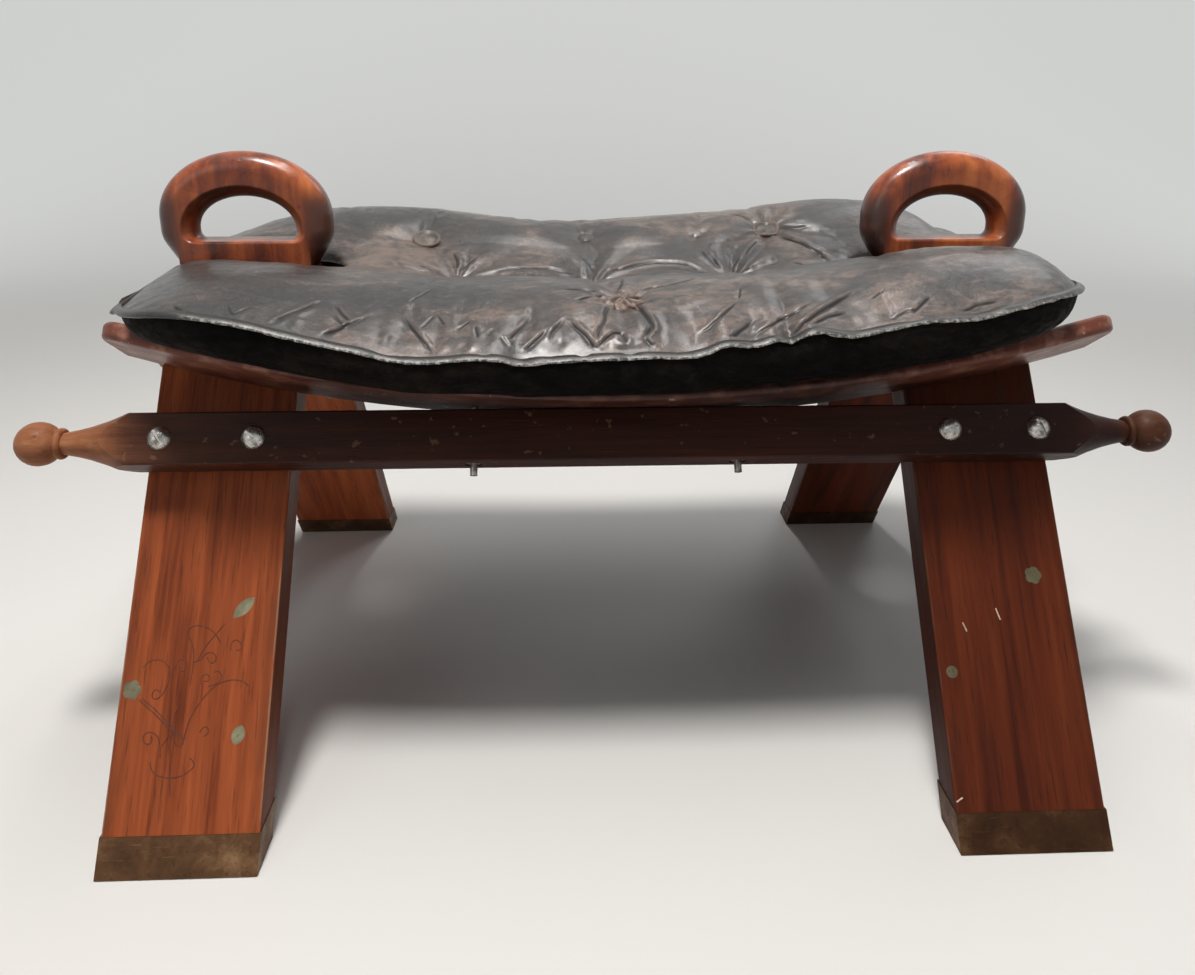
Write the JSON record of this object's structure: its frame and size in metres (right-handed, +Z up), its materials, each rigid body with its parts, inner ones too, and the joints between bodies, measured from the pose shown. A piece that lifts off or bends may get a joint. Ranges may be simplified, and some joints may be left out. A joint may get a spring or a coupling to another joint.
{
  "type": "camel saddle stool",
  "caption": "Low saddle stool: A-frame wooden ends with loop handles, knobbed rails, brass feet and a tufted leather cushion that lifts off.",
  "frame": {"origin": "on the floor under the middle of the stool", "axes": "+X along the rails to the right, +Z up, the front is -Y"},
  "size_m": [0.6252, 0.3816, 0.329],
  "materials": {
    "leg_wood": "oiled hardwood with a dark straight grain, worn satin",
    "handle_wood": "glossy red-brown hardwood, hand polished",
    "rail_wood": "dark red-brown hardwood, satin",
    "lath_wood": "dark red-brown hardwood, satin",
    "dowel_wood": "plain hardwood",
    "shoe_brass": "dull tarnished sheet brass",
    "inlay_brass": "dull tarnished brass let into the wood",
    "screw_steel": "worn plated steel",
    "bolt_steel": "tarnished steel",
    "nut_steel": "plated steel",
    "cover_leather": "black leather worn to grey-brown, glossy and creased",
    "welt_leather": "black leather piping with a pale worn edge",
    "button_leather": "leather-covered, worn",
    "stuffing": "loose fibre stuffing"
  },
  "bodies": {
    "frame": {"leg_front_left": "leg_wood", "shoe_front_left": "shoe_brass", "inlays_front_left": "inlay_brass", "rail_screws_front_left": "screw_steel", "rail_nuts_front_left": "nut_steel", "leg_front_right": "leg_wood", "shoe_front_right": "shoe_brass", "inlays_front_right": "inlay_brass", "rail_screws_front_right": "screw_steel", "rail_nuts_front_right": "nut_steel", "leg_back_left": "leg_wood", "shoe_back_left": "shoe_brass", "inlays_back_left": "inlay_brass", "rail_screws_back_left": "screw_steel", "rail_nuts_back_left": "nut_steel", "leg_back_right": "leg_wood", "shoe_back_right": "shoe_brass", "inlays_back_right": "inlay_brass", "rail_screws_back_right": "screw_steel", "rail_nuts_back_right": "nut_steel", "handle_left": "handle_wood", "dowels_left": "dowel_wood", "handle_right": "handle_wood", "dowels_right": "dowel_wood", "rail_front": "rail_wood", "seat_lath_front": "lath_wood", "lath_bolts_front": "bolt_steel", "lath_nuts_front": "nut_steel", "rail_back": "rail_wood", "seat_lath_back": "lath_wood", "lath_bolts_back": "bolt_steel", "lath_nuts_back": "nut_steel"},
    "cushion": {"cushion_cover": "cover_leather", "cushion_stuffing": "stuffing", "cushion_welt": "welt_leather", "cushion_buttons": "button_leather"}
  },
  "joints": [
    {"name": "cushion_lift", "type": "slide", "parent": "frame", "child": "cushion", "axis": [0, 0, 1], "range_m": [0, 0.15]}
  ]
}
